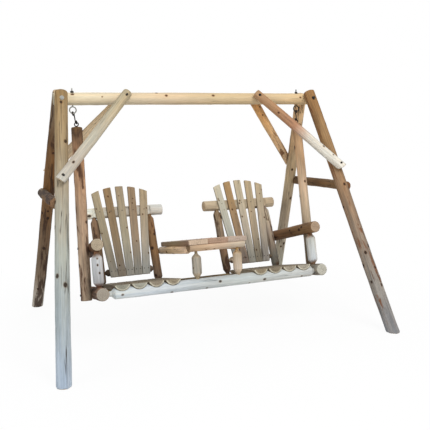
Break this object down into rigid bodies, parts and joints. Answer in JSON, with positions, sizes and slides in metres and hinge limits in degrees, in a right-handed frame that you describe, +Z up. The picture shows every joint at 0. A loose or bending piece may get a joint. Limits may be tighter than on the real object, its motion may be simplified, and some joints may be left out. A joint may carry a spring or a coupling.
{
  "type": "garden log swing with stand",
  "caption": "Free-standing log garden swing: an A-frame stand of peeled poles carries a hanging bench with side-by-side slatted chairs and a centre table.",
  "frame": {"origin": "on the ground, under the middle of the header beam, at the centre of the feet", "axes": "+X along the header beam to the right hand of someone facing the bench, -Y the way the sitter faces, +Z up"},
  "size_m": [2.8126, 2.2962, 2.0886],
  "materials": {
    "log_grey_tan": "weathered peeled log",
    "log_tan_brown": "peeled log",
    "log_dark_brown": "log with bark left on",
    "log_grey_brown": "weathered peeled log",
    "log_cream": "fresh peeled log",
    "log_bleached": "sun-bleached peeled log",
    "log_orange_tan": "peeled log",
    "log_red_brown": "log with inner bark left on",
    "board_weathered": "weathered sawn board",
    "board_cedar": "planed cedar board",
    "zinc_steel": "galvanised",
    "black_steel": "black oxide"
  },
  "bodies": {
    "stand": {"leg_front_left": "log_grey_tan", "leg_front_right": "log_tan_brown", "leg_rear_left": "log_dark_brown", "leg_rear_right": "log_grey_brown", "header_beam": "log_cream", "cross_rail_left": "log_dark_brown", "cross_rail_right": "log_dark_brown", "knee_brace_front_left": "log_bleached", "knee_brace_front_right": "log_bleached", "knee_brace_rear_left": "log_orange_tan", "knee_brace_rear_right": "log_orange_tan", "header_bolts": "zinc_steel", "cross_rail_bolts": "black_steel", "knee_brace_bolts": "black_steel", "eye_bolts": "zinc_steel", "eye_bolt_nuts": "black_steel"},
    "hooks": {"s_hook_left": "black_steel", "s_hook_right": "black_steel"},
    "bench": {"hanger_post_left": "log_red_brown", "hanger_post_right": "log_cream", "hanger_eyes": "black_steel", "bench_frame_bolts": "black_steel", "side_rail_left": "log_red_brown", "side_rail_right": "log_grey_tan", "armrest_left": "log_red_brown", "armrest_right": "log_red_brown", "arm_post_left": "log_bleached", "arm_post_right": "log_bleached", "front_rail": "log_bleached", "rear_rail": "log_grey_brown", "back_post_left_outer": "log_dark_brown", "back_post_left_inner": "log_red_brown", "back_post_right_inner": "log_red_brown", "back_post_right_outer": "log_grey_brown", "upper_back_rail_left": "log_bleached", "upper_back_rail_right": "log_tan_brown", "lower_back_rail_left": "log_dark_brown", "lower_back_rail_right": "log_dark_brown", "back_slat_left_1": "board_weathered", "back_slat_left_2": "board_weathered", "back_slat_left_3": "board_weathered", "back_slat_left_4": "board_weathered", "back_slat_left_5": "board_weathered", "back_slat_right_1": "board_weathered", "back_slat_right_2": "board_weathered", "back_slat_right_3": "board_weathered", "back_slat_right_4": "board_weathered", "back_slat_right_5": "board_weathered", "seat_slats_left": "log_tan_brown", "seat_slats_right": "log_tan_brown", "table_board_left": "board_cedar", "table_board_middle": "board_cedar", "table_board_right": "board_cedar", "table_front_apron": "log_orange_tan", "table_side_rail_left": "log_orange_tan", "table_side_rail_right": "log_orange_tan", "table_rear_batten": "log_orange_tan", "table_leg_left": "log_grey_tan", "table_leg_right": "log_cream", "wood_screws": "black_steel"}
  },
  "joints": [
    {"name": "hook_swing", "type": "hinge", "parent": "stand", "child": "hooks", "pos_m": [0, 0, 1.883], "axis": [1, 0, 0], "range_deg": [-15, 25]},
    {"name": "bench_tip", "type": "hinge", "parent": "hooks", "child": "bench", "pos_m": [0, 0, 1.809], "axis": [1, 0, 0], "range_deg": [-6, 8]}
  ]
}
